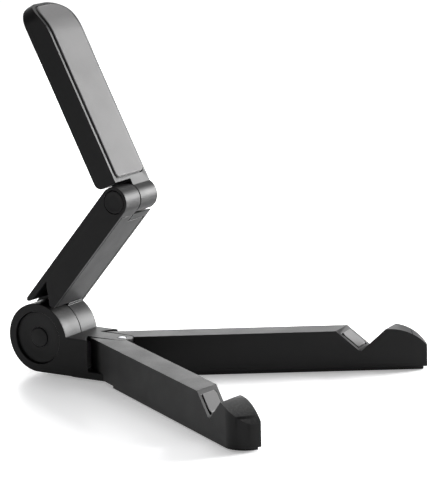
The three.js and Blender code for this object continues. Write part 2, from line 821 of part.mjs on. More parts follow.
function upperArmGroup() {
  const group = new THREE.Group();
  group.add(
    piece('upper_arm_body', upperArmBody(), BLACK_ABS),
    piece('upper_arm_pad_plate', upperArmPadPlate(), CAP_ABS),
    piece('upper_arm_pad', upperArmPad(), BLACK_RUBBER),
    piece('hinge_plug_right', mirrorX(hingePlug()), CAP_ABS),
  );
  group.position.set(0, -ARM_LENGTH, HINGE_V);
  group.rotation.x = rad(-REST_TILT);
  return group;
}

// Pieces on the hinge axis that stay with the lower arm.
function hingeGroup() {
  const group = new THREE.Group();
  group.add(
    piece('hinge_pin', hingePin(), STEEL),
    piece('hinge_plug_left', hingePlug(), CAP_ABS),
    piece('hinge_washer', hingeWasher(), FIBRE),
  );
  group.position.set(0, -ARM_LENGTH, HINGE_V);
  return group;
}

function lowerArmGroup() {
  const group = new THREE.Group();
  group.add(
    piece('lower_arm_body', lowerArmBody(), BLACK_ABS),
    piece('lower_arm_cover', lowerArmCover(), BLACK_ABS),
    piece('hub_cap_right', hubCap(0, 0), CAP_ABS),
    piece('hub_plug_right', hubPlug(0, 0), CAP_ABS),
    piece('hub_disc_arm', frictionDisc(0, 0), FIBRE),
    hingeGroup(),
    upperArmGroup(),
  );
  group.position.set(0, HUB_Y, HUB_Z);
  group.rotation.x = rad(-ARM_RAISED);
  return group;
}

const stand = new THREE.Group();
stand.name = 'folding_stand';
stand.add(baseGroup(), legGroup('left'), legGroup('right'), lowerArmGroup());

export default stand;
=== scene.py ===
import json
import math

import bmesh
import bpy
import numpy as np
from bpy.props import FloatProperty, FloatVectorProperty, PointerProperty
from mathutils import Matrix, Vector
from mathutils.bvhtree import BVHTree
from mathutils.geometry import area_tri
from mathutils.kdtree import KDTree

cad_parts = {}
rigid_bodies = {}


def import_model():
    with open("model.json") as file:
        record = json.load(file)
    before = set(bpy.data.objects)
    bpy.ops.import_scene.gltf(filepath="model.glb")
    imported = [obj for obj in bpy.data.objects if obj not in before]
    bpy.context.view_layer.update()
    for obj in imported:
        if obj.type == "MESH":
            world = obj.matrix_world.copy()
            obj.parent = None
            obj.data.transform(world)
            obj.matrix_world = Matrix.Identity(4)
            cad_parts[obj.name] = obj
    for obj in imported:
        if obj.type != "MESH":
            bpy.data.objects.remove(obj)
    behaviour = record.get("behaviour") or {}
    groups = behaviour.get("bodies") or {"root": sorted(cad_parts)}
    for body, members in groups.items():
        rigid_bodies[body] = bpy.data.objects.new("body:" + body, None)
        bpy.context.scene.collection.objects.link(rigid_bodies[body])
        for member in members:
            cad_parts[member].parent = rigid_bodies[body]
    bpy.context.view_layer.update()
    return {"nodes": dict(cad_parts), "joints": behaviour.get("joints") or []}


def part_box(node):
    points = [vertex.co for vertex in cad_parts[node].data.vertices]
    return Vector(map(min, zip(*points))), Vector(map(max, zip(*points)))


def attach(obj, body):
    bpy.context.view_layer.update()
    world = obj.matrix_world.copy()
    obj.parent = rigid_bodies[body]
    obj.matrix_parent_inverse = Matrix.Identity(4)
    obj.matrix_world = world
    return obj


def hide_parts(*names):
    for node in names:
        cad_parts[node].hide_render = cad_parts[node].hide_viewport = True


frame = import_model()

bl_info = {
    "name": "Folding desk stand",
    "version": (1, 0, 0),
    "blender": (4, 5, 0),
    "location": "3D View > Sidebar > Stand",
    "description": "Builds the visible pieces of a folding desk stand round its CAD frame",
    "category": "Object",
}

# The stand is drawn folded: the legs lie along -Y on both sides of x = 0 and the arms lie along
# -Y above them. Drawing sizes are in millimetres; meshes are in metres.
MM = 0.001
JOINT_OF = {joint["child"]: joint for joint in frame["joints"]}
_, HUB_Y, HUB_Z = (value / MM for value in JOINT_OF["lower_arm"]["pos_m"])

HALF_WIDTH = 12.3
ARM_LENGTH = 79.9
HINGE_HEIGHT = 9.1  # upper hinge axis above the hub axis, folded
DECK = 19.0

LEG_MIDDLE = 6.35
NOTCH_AT = 110.4
NOTCH_FLOOR = 9.6
NOTCH_ROUND = 1.2
NOTCH_TURN = math.radians(26)

REST_FRONT = -5.3  # front of the upper arm from its hinge axis
REST_BEND = 79.0  # where that front starts to curve back
REST_BEND_R = 23.5

# Rounding the CAD solids' edges. A try that goes wrong is repaired gently at first, by halving
# the roundings near the fault, then firmly, by leaving them crisp.
ROUNDING_TRIES = 12
GENTLE_TRIES = 4
MERGE_TRIES = 4
OFF_SURFACE = 0.7  # how far a rounding may leave the solid's surface, in widths
SHOWS = 0.2  # area in squared widths from which a face turned over would show
OVERFILLED = 1.0005  # a merged face whose triangles cover more than this share is spoiled
MERGE = 2e-6  # distance in metres under which two points of a CAD solid are the same
SAME_WAY = 0.9999  # cosine of the angle under which two faces look the same way
TINY_AREA = 1e-12  # twice the area, in square metres, under which three points are in line
SLIVER = 1e-7  # length in metres under which an edge of a new surface is closed up

DUST_COLOUR = (0.33, 0.32, 0.3, 1.0)
LENS, SENSOR = 207.43, 36.0
CAMERA_AT = Vector((-1.00288, -0.71030, 0.31808))
CAMERA_AIM = Vector((0.02579, -0.03445, 0.06082))
CAMERA_ROLL = math.radians(-1.477)
LIGHTS_AIM = Vector((0.02, -0.03, 0.06))


# ---------------------------------------------------------------- outlines and surfaces


def settle(points, body):
    """Folded drawing, in mm, to the body's place at rest, in metres. From the base outwards,
    each joint turns the points about its axis by the angle from its folded limit to rest:
    p' = p cos a + (k x p) sin a + k (k . p)(1 - cos a), with p measured from the pivot."""
    chain = []
    while body in JOINT_OF:
        chain.insert(0, JOINT_OF[body])
        body = JOINT_OF[body]["parent"]
    placed = points * MM
    for joint in chain:
        axis, pivot = np.array(joint["axis"], float), np.array(joint["pos_m"], float)
        angle = -math.radians(joint["range_deg"][0])
        arm = placed - pivot
        along = (arm @ axis)[..., None] * axis
        swung = arm * math.cos(angle) + np.cross(axis, arm) * math.sin(angle)
        placed = pivot + swung + along * (1 - math.cos(angle))
    return placed


def rounded_outline(corners, radii, inset=0.0, arc_steps=8, edge_steps=1):
    """Closed outline with rounded corners, moved inward by `inset`. Corners run anticlockwise.
    Each corner moves along its bisector by inset / cos(half turn); its arc has radius
    r - inset (r + inset where the outline turns inward) and touches both edges at
    r tan(half turn) from the corner. Straight edges get `edge_steps` equal steps."""
    corners, radii = np.asarray(corners, float), np.asarray(radii, float)
    arriving = corners - np.roll(corners, 1, 0)
    arriving /= np.linalg.norm(arriving, axis=1, keepdims=True)
    leaving = np.roll(arriving, -1, 0)
    turn = np.arctan2(
        arriving[:, 0] * leaving[:, 1] - arriving[:, 1] * leaving[:, 0],
        (arriving * leaving).sum(1),
    )
    left_in = np.stack([-arriving[:, 1], arriving[:, 0]], 1)
    left_out = np.stack([-leaving[:, 1], leaving[:, 0]], 1)
    moved = corners + inset * (left_in + left_out) / (1 + (left_in * left_out).sum(1))[:, None]
    side = np.sign(turn)
    radius = np.maximum(radii - side * inset, 0.01)
    reach = (radius * np.tan(np.abs(turn) / 2))[:, None]
    start, end = moved - arriving * reach, moved + leaving * reach
    centre = start + left_in * (radius * side)[:, None]
    first = np.arctan2(*(start - centre).T[::-1])
    angle = first[:, None] + turn[:, None] * np.linspace(0, 1, arc_steps + 1)
    arcs = centre[:, None] + radius[:, None, None] * np.stack([np.cos(angle), np.sin(angle)], 2)
    share = (np.arange(1, edge_steps) / edge_steps)[None, :, None]
    edges = end[:, None] + share * (np.roll(start, -1, 0) - end)[:, None]
    return np.concatenate([arcs, edges], 1).reshape(-1, 2)


def edge_section(low, high, low_round, high_round, steps=4):
    """Section of a plate's rim as rows (inset, height, wear and painted highlight): a quarter
    circle at the bottom from (round, low) to (0, low + round), a straight side, and a quarter
    circle at the top.
    The wear and painted highlight value is 1 in the middle of each rounding and 0 at its ends."""
    t = np.linspace(0, math.pi / 2, steps + 1)
    wear_and_highlight = np.sin(2 * t)
    bottom = np.stack([low_round * (1 - np.sin(t)), low + low_round * (1 - np.cos(t)), wear_and_highlight], 1)
    top = np.stack([high_round * (1 - np.cos(t)), high - high_round * (1 - np.sin(t)), wear_and_highlight], 1)
    return np.concatenate([bottom, top])


def skin(name, rings, wear_and_highlight=None, looped=False):
    """Mesh through rings of points, shape (rings, points, 3) in metres: quads between
    neighbouring rings, and either flat ends or, when looped, quads from the last ring to the
    first. `wear_and_highlight` holds one value per ring and becomes the attribute that the
    finishes read as rubbed edges with a painted highlight."""
    count, size = rings.shape[:2]
    near = np.arange(count if looped else count - 1)[:, None] * size + np.arange(size)
    side = np.roll(near, -1, 1)
    total = count * size
    quads = np.stack([near, side, (side + size) % total, (near + size) % total], 2)
    faces = quads.reshape(-1, 4).tolist()
    if not looped:
        faces += [list(range(size)), list(range(total - 1, total - size - 1, -1))]
    mesh = bpy.data.meshes.new(name)
    mesh.from_pydata(rings.reshape(-1, 3), [], faces)
    # This attribute marks rounded edges for the lighter edge colour: partly rubbing, partly a
    # painted highlight.
    values = np.zeros(count) if wear_and_highlight is None else np.asarray(wear_and_highlight, float)
    layer = mesh.attributes.new("wear_and_highlight", "FLOAT", "POINT")
    layer.data.foreach_set("value", np.repeat(values, size).astype(np.float32))
    closed = bmesh.new()
    closed.from_mesh(mesh)
    bmesh.ops.remove_doubles(closed, verts=closed.verts, dist=MERGE)
    bmesh.ops.dissolve_degenerate(closed, edges=closed.edges, dist=SLIVER)
    bmesh.ops.recalc_face_normals(closed, faces=closed.faces)
    closed.to_mesh(mesh)
    closed.free()
    return mesh


def turned(profile, centre, axis, sides=96):
    """Rings of a lathe surface: each row (radius, distance along the axis) of the profile
    becomes the circle centre + distance * axis + radius (cos t e1 + sin t e2)."""
    axis = np.asarray(axis, float)
    first = np.roll(axis, 1)
    second = np.cross(axis, first)
    t = np.linspace(0, 2 * math.pi, sides, endpoint=False)
    circle = np.cos(t)[:, None] * first + np.sin(t)[:, None] * second
    profile = np.asarray(profile, float)
    radial = profile[:, 0, None, None] * circle
    return np.asarray(centre, float) + profile[:, 1, None, None] * axis + radial


# ---------------------------------------------------------------- node trees


def wire(tree, kind, inputs=(), **settings):
    """A node with its settings, each input given as a value or as the socket that feeds it."""
    node = tree.nodes.new(kind)
    for key, value in settings.items():
        setattr(node, key, value)
    for key, value in dict(inputs).items():
        if isinstance(value, bpy.types.NodeSocket):
            tree.links.new(value, node.inputs[key])
        else:
            node.inputs[key].default_value = value
    return node


def sums(tree, operation, a, b, c=None, clamp=False):
    """Output of a Math node on two or three values or sockets."""
    given = {0: a, 1: b} if c is None else {0: a, 1: b, 2: c}
    node = wire(tree, "ShaderNodeMath", given, operation=operation, use_clamp=clamp)
    return node.outputs[0]


def effect(name, inputs, outputs):
    """An empty shader node group with named float inputs and outputs, or None when it exists."""
    if name in bpy.data.node_groups:
        return None
    tree = bpy.data.node_groups.new(name, "ShaderNodeTree")
    for key, value in inputs.items():
        socket = tree.interface.new_socket(key, in_out="INPUT", socket_type="NodeSocketFloat")
        socket.default_value = value
    for key in outputs:
        tree.interface.new_socket(key, in_out="OUTPUT", socket_type="NodeSocketFloat")
    return tree


def moulded_grain():
    """Spark-eroded grain: fine noise for the pits, with slow patches where the grain is
    flatter. Height is the relief and Patch the slow variation, both from 0 to 1."""
    tree = effect("moulded grain", {"Pits per metre": 3200.0, "Patches per metre": 70.0},
                  ("Height", "Patch"))
    if tree is None:
        return bpy.data.node_groups["moulded grain"]
    given = tree.nodes.new("NodeGroupInput")
    place = wire(tree, "ShaderNodeTexCoord").outputs["Object"]
    pits = wire(tree, "ShaderNodeTexNoise", {
        "Vector": place, "Scale": given.outputs["Pits per metre"], "Detail": 3.0,
        "Roughness": 0.62,
    })
    patch = wire(tree, "ShaderNodeTexNoise", {
        "Vector": place, "Scale": given.outputs["Patches per metre"], "Detail": 4.0,
        "Roughness": 0.55, "Distortion": 0.4,
    })
    spread = wire(tree, "ShaderNodeMapRange", {
        "Value": patch.outputs["Fac"], "From Min": 0.3, "From Max": 0.7,
    })
    wire(tree, "NodeGroupOutput", {
        "Height": pits.outputs["Fac"], "Patch": spread.outputs["Result"],
    })
    return tree


def edge_wear_and_highlight():
    """Rounded edges, rubbed smooth and given a lighter colour that is partly wear and partly a
    painted highlight: the mesh's wear value, broken up by noise.
    """
    tree = effect("edge wear and painted highlight", {"Reach": 0.55, "Breaks per metre": 260.0}, ("Mask",))
    if tree is None:
        return bpy.data.node_groups["edge wear and painted highlight"]
    given = tree.nodes.new("NodeGroupInput")
    # Rounded edges from the mesh attribute: rubbed edges with a painted highlight along them.
    worn_and_highlit = wire(tree, "ShaderNodeAttribute", attribute_name="wear_and_highlight").outputs["Fac"]
    place = wire(tree, "ShaderNodeTexCoord").outputs["Object"]
    breaks = wire(tree, "ShaderNodeTexNoise", {
        "Vector": place, "Scale": given.outputs["Breaks per metre"], "Detail": 3.0,
    }).outputs["Fac"]
    ragged = sums(tree, "MULTIPLY_ADD", breaks, 0.9, given.outputs["Reach"])
    wire(tree, "NodeGroupOutput", {"Mask": sums(tree, "MULTIPLY", worn_and_highlit, ragged, clamp=True)})
    return tree


def settled_dust():
    """Dust on faces that look up in the piece's own frame, gathered in small specks."""
    tree = effect("settled dust", {"Specks per metre": 900.0}, ("Mask",))
    if tree is None:
        return bpy.data.node_groups["settled dust"]
    given = tree.nodes.new("NodeGroupInput")
    place = wire(tree, "ShaderNodeTexCoord")
    upward = wire(tree, "ShaderNodeSeparateXYZ", {"Vector": place.outputs["Normal"]}).outputs["Z"]
    facing = wire(tree, "ShaderNodeMapRange", {
        "Value": upward, "From Min": 0.35, "From Max": 0.95,
    }).outputs["Result"]
    specks = wire(tree, "ShaderNodeTexNoise", {
        "Vector": place.outputs["Object"], "Scale": given.outputs["Specks per metre"],
        "Detail": 4.0, "Roughness": 0.7,
    }).outputs["Fac"]
    drifts = wire(tree, "ShaderNodeTexNoise", {
        "Vector": place.outputs["Object"], "Scale": 45.0, "Detail": 2.0,
    }).outputs["Fac"]
    gathered = wire(tree, "ShaderNodeMapRange", {
        "Value": sums(tree, "MULTIPLY_ADD", drifts, 0.5, specks), "From Min": 0.72,
        "From Max": 0.98,
    }).outputs["Result"]
    wire(tree, "NodeGroupOutput", {"Mask": sums(tree, "MULTIPLY", facing, gathered)})
    return tree


def place_effect(tree, group, **inputs):
    """A shared effect placed in a material with that material's own values."""
    node = wire(tree, "ShaderNodeGroup", node_tree=group)
    for key, value in inputs.items():
        node.inputs[key.replace("_", " ")].default_value = value
    return node


def finish(name, colour, worn_and_highlit, roughness, worn_roughness, specular=0.5, metallic=0.0,
           pits=3200.0, relief=0.00004, strength=0.35, patches=70.0, mottle=0.12, reach=0.55,
           dust=0.05, sheen=0.0):
    """A moulded, rubber or metal finish: base colour goes to the lighter worn colour on rounded
    edges, partly as rubbing and partly as a painted highlight, and to dust where it settles,
    roughness varies with the grain's patches, and the grain's height drives a bump `relief` metres
    deep."""
    if name in bpy.data.materials:
        return bpy.data.materials[name]
    material = bpy.data.materials.new(name)
    material.use_nodes = True
    tree = material.node_tree
    tree.nodes.clear()
    grain = place_effect(tree, moulded_grain(), Pits_per_metre=pits, Patches_per_metre=patches)
    rub_and_highlight = place_effect(tree, edge_wear_and_highlight(), Reach=reach).outputs["Mask"]
    film = sums(tree, "MULTIPLY", place_effect(tree, settled_dust()).outputs["Mask"], dust)
    patch = grain.outputs["Patch"]
    shade = sums(tree, "MULTIPLY_ADD", patch, mottle, 1 - mottle / 2)
    plain = wire(tree, "ShaderNodeVectorMath", {0: tuple(colour), "Scale": shade},
                 operation="SCALE").outputs["Vector"]
    # A colour Mix node's factor is input 0, its colours are inputs 6 and 7, its result output 2.
    # Rounded edges take the lighter second colour, partly as rubbing and partly as a painted
    # highlight.
    rubbed_and_highlit = wire(tree, "ShaderNodeMix", {0: rub_and_highlight, 6: plain, 7: (*worn_and_highlit, 1.0)}, data_type="RGBA")
    dusty = wire(tree, "ShaderNodeMix", {0: film, 6: rubbed_and_highlit.outputs[2], 7: DUST_COLOUR},
                 data_type="RGBA")
    rough = sums(tree, "MULTIPLY_ADD", patch, mottle * 0.6, roughness - mottle * 0.3)
    rough = sums(tree, "MULTIPLY_ADD", rub_and_highlight, worn_roughness - roughness, rough)
    rough = sums(tree, "MULTIPLY_ADD", film, 0.35, rough, clamp=True)
    bump = wire(tree, "ShaderNodeBump", {
        "Height": grain.outputs["Height"], "Distance": relief, "Strength": strength,
    })
    shader = wire(tree, "ShaderNodeBsdfPrincipled", {
        "Base Color": dusty.outputs[2], "Roughness": rough, "Metallic": metallic,
        "Specular IOR Level": specular, "Normal": bump.outputs["Normal"],
        "Sheen Weight": sheen,
    })
    wire(tree, "ShaderNodeOutputMaterial", {"Surface": shader.outputs[0]})
    return material


def black_shell():
    """Black moulded plastic with a fine spark-eroded grain."""
    look = bpy.context.scene.stand_finish
    return finish("black moulded shell", look.shell_colour, look.shell_worn_and_highlit, look.shell_roughness,
                  0.34, specular=look.shell_gloss)


def black_cap():
    """Black moulded plastic of the caps and plugs, with a flatter grain. Its colour is a touch
    darker than the shells', as painted shade for the caps sunk in the hub.
    """
    look = bpy.context.scene.stand_finish
    return finish("black moulded cap", look.cap_colour_and_shade, look.shell_worn_and_highlit,
                  look.shell_roughness - 0.04, 0.36, specular=look.shell_gloss, pits=4200.0,
                  relief=0.00003, strength=0.22, patches=110.0)


def grey_pad():
    """Dark grey soft rubber of the facings that touch the device."""
    look = bpy.context.scene.stand_finish
    return finish("dark grey soft rubber", look.pad_colour, look.pad_worn_and_highlit, look.pad_roughness,
                  0.55, specular=0.4, pits=2600.0, relief=0.00005, strength=0.5, patches=55.0,
                  mottle=0.08, dust=0.03, sheen=0.15)


def black_rubber():
    """Black rubber of the sole and the feet."""
    look = bpy.context.scene.stand_finish
    # The lighter second colour goes on rounded edges: partly rubbing, partly a painted highlight.
    return finish("black foot rubber", look.rubber_colour, (0.06, 0.06, 0.06), 0.82, 0.6,
                  specular=0.3, pits=1800.0, relief=0.00005, strength=0.5)


def zinc_steel():
    """Bright zinc-plated steel."""
    look = bpy.context.scene.stand_finish
    # The lighter second colour goes on rounded edges: partly rubbing, partly a painted highlight.
    return finish("zinc plated steel", look.steel_colour, (0.6, 0.6, 0.6), 0.42, 0.3, metallic=1.0,
                  pits=5200.0, relief=0.00001, strength=0.2, patches=400.0, mottle=0.2,
                  dust=0.0)


def friction_fibre():
    """Dark grey pressed fibre of the friction discs."""
    # The lighter second colour goes on rounded edges: partly rubbing, partly a painted highlight.
    return finish("dark friction fibre", (0.1, 0.095, 0.09), (0.16, 0.15, 0.14), 0.9, 0.8,
                  specular=0.2, pits=1400.0, relief=0.00006, strength=0.7, patches=300.0,
                  mottle=0.35, dust=0.0)


# ---------------------------------------------------------------- placing pieces


def fit_piece(name, mesh, material, body, slot, *nodes, crease=40.0):
    """Links a finished mesh as a piece of the stand: smooth, with flat faces kept flat by
    weighted normals, riding on its body and standing for its CAD nodes."""
    mesh.materials.clear()
    mesh.materials.append(material)
    mesh.polygons.foreach_set("use_smooth", np.ones(len(mesh.polygons), bool))
    mesh.set_sharp_from_angle(angle=math.radians(crease))
    piece = bpy.data.objects.new(name, mesh)
    bpy.context.scene.collection.objects.link(piece)
    normals = piece.modifiers.new("even normals", "WEIGHTED_NORMAL")
    normals.keep_sharp = True
    normals.weight = 80
    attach(piece, body)
    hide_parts(*nodes)
    return piece


def segment_distance(point, start, end):
    """Distance from a point to a straight edge."""
    span = end - start
    share = max(0.0, min(1.0, (point - start).dot(span) / max(span.length_squared, 1e-18)))
    return (point - (start + span * share)).length


def room_beside(edge, crease):
    """How wide a rounding an edge has room for: under half the way across its two faces, and
    most of the way along the shortest smooth edge that leaves its ends."""
    middle = (edge.verts[0].co + edge.verts[1].co) / 2
    room = 1.0
    for face in edge.link_faces:
        for other in face.edges:
            if not set(other.verts) & set(edge.verts):
                ends = other.verts[0].co, other.verts[1].co
                room = min(room, 0.46 * segment_distance(middle, *ends))
    for end in edge.verts:
        for other in end.link_edges:
            if other is not edge and other.calc_face_angle(0.0) < crease:
                room = min(room, 0.85 * other.calc_length())
    return room


def in_plane(edge, planes):
    """True if an edge and its two faces lie in one of the given planes."""
    for point, normal in planes:
        if all(face.normal.dot(normal) > SAME_WAY for face in edge.link_faces):
            if all(abs((end.co - point).dot(normal)) < MERGE for end in edge.verts):
                return True
    return False


def whole_faces(name, node):
    """A CAD solid's triangles merged into whole faces, in a bmesh of its own. Where a merged
    face wouldn't fill its outline properly, the triangles of its plane are kept."""
    source = frame["nodes"][node].data
    points = np.empty(len(source.vertices) * 3)
    source.vertices.foreach_get("co", points)
    mesh = bpy.data.meshes.new(name)
    mesh.from_pydata(points.reshape(-1, 3), [], [list(p.vertices) for p in source.polygons])
    planes = []
    for _ in range(MERGE_TRIES):
        whole = bmesh.new()
        whole.from_mesh(mesh)
        bmesh.ops.remove_doubles(whole, verts=whole.verts, dist=MERGE)
        bmesh.ops.dissolve_degenerate(whole, edges=whole.edges, dist=MERGE)
        whole.normal_update()
        bmesh.ops.dissolve_limit(
            whole, angle_limit=math.radians(0.4), verts=whole.verts,
            edges=[edge for edge in whole.edges if not in_plane(edge, planes)],
        )
        whole.normal_update()
        filled = dict.fromkeys(whole.faces, 0.0)
        for loops in whole.calc_loop_triangles():
            filled[loops[0].face] += area_tri(*(loop.vert.co for loop in loops))
        spoiled = [face for face, area in filled.items()
                   if len(face.verts) > 4 and area > OVERFILLED * face.calc_area() + TINY_AREA]
        if not spoiled:
            break
        planes += [(face.verts[0].co.copy(), face.normal.copy()) for face in spoiled]
    return mesh, whole


def rounded_copy(draft):
    """The draft's mesh with its rounding modifier applied."""
    seen = draft.evaluated_get(bpy.context.evaluated_depsgraph_get())
    made = bpy.data.meshes.new_from_object(seen)
    clean = bmesh.new()
    clean.from_mesh(made)
    bmesh.ops.dissolve_degenerate(clean, edges=clean.edges, dist=MERGE)
    clean.to_mesh(made)
    clean.free()
    return made


def crossed_edges(outline, normal):
    """Edges of one face that cross another of its edges or run straight back, as places in the
    face's outline. The outline is laid flat on its plane, and every pair of edges is tested
    for whether the ends of each lie on opposite sides of the other."""
    along = np.cross(normal, (0.31, 0.52, 0.79))
    along /= np.linalg.norm(along)
    flat = np.stack([outline @ along, outline @ np.cross(normal, along)], 1)
    step = np.roll(flat, -1, 0) - flat
    gap = flat[None, :, :] - flat[:, None, :]
    side = step[:, None, 0] * gap[..., 1] - step[:, None, 1] * gap[..., 0]
    side[np.abs(side) < TINY_AREA] = 0.0
    split = side * np.roll(side, -1, 1) < 0
    onward = np.roll(step, -1, 0)
    turn = (step * onward).sum(1) / (
        np.linalg.norm(step, axis=1) * np.linalg.norm(onward, axis=1) + TINY_AREA)
    return np.nonzero((split & split.T).any(1) | (turn < -SAME_WAY))[0]


def faulty_corners(made, tree, corners, round_edge, widely):
    """Indices of the solid's corners beside which a rounding has gone wrong: a face of the
    rounded copy lies off the solid's surface or crosses itself, or a face or one of its
    triangles that shows is turned against the surface. Searched `widely`, a turned triangle
    gives away every corner of its face."""
    found = set()
    for face in made.polygons:
        ends = [made.vertices[index].co for index in face.vertices]
        near = tree.find_nearest(face.center)
        off = max(tree.find_nearest(end)[3] for end in ends)
        turned_over = near[1].dot(face.normal) < -0.05 and face.area > SHOWS * round_edge**2
        if off > OFF_SURFACE * round_edge or turned_over:
            for end in ends:
                found.add(corners.find(end)[1])
        elif len(ends) > 4:
            for place in crossed_edges(np.array(ends), np.array(face.normal)):
                found.add(corners.find(ends[place])[1])
                found.add(corners.find(ends[(place + 1) % len(ends)])[1])
    made.calc_loop_triangles()
    for part in made.loop_triangles:
        if part.area > SHOWS * round_edge**2:
            a, b, c = (made.vertices[index].co for index in part.vertices)
            facing = (b - a).cross(c - a).normalized()
            face = made.polygons[part.polygon_index]
            if facing.dot(face.normal) < 0.2:
                for index in face.vertices if widely else part.vertices:
                    found.add(corners.find(made.vertices[index].co)[1])
    return found


def softened(name, node, round_edge, crease=26.0):
    """Moulded copy of a CAD solid: every edge sharper than `crease` gets a rounding in three
    facets, as wide as there is room for, and stays crisp where a rounding would fold over.
    Faces that stay at fault are split into triangles, and when the tries run out the last one
    is kept. The middle of each rounding carries a wear and painted highlight value of 1, its
    borders 0."""
    mesh, whole = whole_faces(name, node)
    crease = math.radians(crease)
    weight = whole.edges.layers.float.new("bevel_weight_edge")
    for edge in whole.edges:
        if edge.calc_face_angle(0.0) > crease:
            edge[weight] = min(1.0, room_beside(edge, crease) / round_edge)
    whole.verts.ensure_lookup_table()
    tree = BVHTree.FromBMesh(whole)
    corners = KDTree(len(whole.verts))
    for vertex in whole.verts:
        corners.insert(vertex.co, vertex.index)
    corners.balance()
    for _ in range(2):
        mesh.materials.append(None)
    draft = bpy.data.objects.new(name + "_draft", mesh)
    bpy.context.scene.collection.objects.link(draft)
    rounding = draft.modifiers.new("rounding", "BEVEL")
    rounding.limit_method = "WEIGHT"
    rounding.width = round_edge
    rounding.segments = 3
    rounding.use_clamp_overlap = False
    rounding.material = 1
    for attempt in range(ROUNDING_TRIES):
        whole.to_mesh(mesh)
        mesh.update()
        made = rounded_copy(draft)
        faulty = faulty_corners(made, tree, corners, round_edge, attempt > GENTLE_TRIES)
        if not faulty:
            break
        for index in faulty:
            for edge in whole.verts[index].link_edges:
                gentle = edge[weight] > 0.2 and attempt < GENTLE_TRIES
                edge[weight] *= 0.5 if gentle else 0.0
        if attempt > GENTLE_TRIES:
            wide = {face for index in faulty for face in whole.verts[index].link_faces
                    if len(face.verts) > 4}
            bmesh.ops.triangulate(whole, faces=list(wide))
            whole.verts.ensure_lookup_table()
    whole.free()
    bpy.data.objects.remove(draft)
    bpy.data.meshes.remove(mesh)
    made.name = name
    rounded = np.empty(len(made.polygons), np.int32)
    made.polygons.foreach_get("material_index", rounded)
    sizes = np.empty(len(made.polygons), np.int32)
    made.polygons.foreach_get("loop_total", sizes)
    corner = np.empty(len(made.loops), np.int32)
    made.loops.foreach_get("vertex_index", corner)
    # Marks the roundings for the lighter edge colour, partly rubbing and partly a painted
    # highlight.
    worn_and_highlit = np.ones(len(made.vertices), np.float32)
    np.minimum.at(worn_and_highlit, corner, np.repeat(rounded, sizes).astype(np.float32))
    layer = made.attributes.new("wear_and_highlight", "FLOAT", "POINT")
    layer.data.foreach_set("value", worn_and_highlit)
    made.polygons.foreach_set("material_index", np.zeros(len(made.polygons), np.int32))
    return made


def plate(name, corners, radii, rim, place, arc_steps=8, edge_steps=1):
    """Plate with a rounded rim: for each row (inset, height, wear and painted highlight) of its
    section, the outline moved inward by the inset and lifted to the height by `place(outline,
    height)`."""
    rings = np.stack([
        place(rounded_outline(corners, radii, inset, arc_steps, edge_steps), height)
        for inset, height in rim[:, :2]
    ])
    return skin(name, rings, rim[:, 2])


def refinish(material, *nodes):
    """Gives CAD nodes that stay as they are a procedural finish."""
    for name in nodes:
        node = frame["nodes"][name]
        if not node.material_slots:
            node.data.materials.append(None)
        for place in node.material_slots:
            place.material = material


def arm_points(outline, height, along, up):
    """Outline points (x, distance along an arm) at a height, in the folded frame."""
    x, reach = outline.T
    level = np.broadcast_to(height, x.shape)
    return np.stack([x, HUB_Y - along - reach, HUB_Z + up + level], 1)


# ---------------------------------------------------------------- settings


class StandFinish(bpy.types.PropertyGroup):
    """Colours and gloss of the finishes."""

    shell_colour: FloatVectorProperty(
        name="Shell colour", description="Base colour of the moulded shells",
        subtype="COLOR", size=3, min=0, max=1, default=(0.007, 0.007, 0.0073))
    # Lighter colour of the shells' rounded edges: partly rubbing, partly a painted highlight.
    shell_worn_and_highlit: FloatVectorProperty(
        name="Rubbed edge colour", description="Base colour of rubbed edges of the shells",
        subtype="COLOR", size=3, min=0, max=1, default=(0.02, 0.02, 0.0205))
    shell_roughness: FloatProperty(
        name="Shell roughness", description="Roughness of the moulded grain",
        subtype="FACTOR", min=0, max=1, default=0.47)
    shell_gloss: FloatProperty(
        name="Shell gloss", description="Specular level of the black plastic",
        subtype="FACTOR", min=0, max=1, default=0.2)
    # The caps' black, set a touch darker than the shells as painted shade for the sunk hub caps.
    cap_colour_and_shade: FloatVectorProperty(
        name="Cap colour", description="Base colour of the caps and plugs",
        subtype="COLOR", size=3, min=0, max=1, default=(0.0065, 0.0065, 0.0068))
    pad_colour: FloatVectorProperty(
        name="Pad colour", description="Base colour of the soft facings",
        subtype="COLOR", size=3, min=0, max=1, default=(0.042, 0.0405, 0.041))
    # Lighter colour of the facings' rounded edges: partly rubbing, partly a painted highlight.
    pad_worn_and_highlit: FloatVectorProperty(
        name="Pad edge colour", description="Base colour of the facings' rubbed edges",
        subtype="COLOR", size=3, min=0, max=1, default=(0.06, 0.058, 0.058))
    pad_roughness: FloatProperty(
        name="Pad roughness", description="Roughness of the soft facings",
        subtype="FACTOR", min=0, max=1, default=0.62)
    rubber_colour: FloatVectorProperty(
        name="Foot rubber colour", description="Base colour of the sole and the feet",
        subtype="COLOR", size=3, min=0, max=1, default=(0.02, 0.02, 0.02))
    steel_colour: FloatVectorProperty(
        name="Steel colour", description="Base colour of the rivet, bolt and pin",
        subtype="COLOR", size=3, min=0, max=1, default=(0.42, 0.425, 0.44))


class StandShape(bpy.types.PropertyGroup):
    """Sizes that the visible pieces add to the CAD solids."""

    shell_round: FloatProperty(
        name="Shell edge rounding", description="Width of the rounding on the shells' edges",
        unit="LENGTH", default=0.00022, min=0.0001, max=0.001)
    pad_round: FloatProperty(
        name="Pad edge rounding", description="Radius of the soft facing's front edge",
        unit="LENGTH", default=0.0006, min=0.0001, max=0.001)
    cap_dish: FloatProperty(
        name="Cap dish", description="How far the hub caps are dished",
        unit="LENGTH", default=0.0003, min=0.0, max=0.0008)


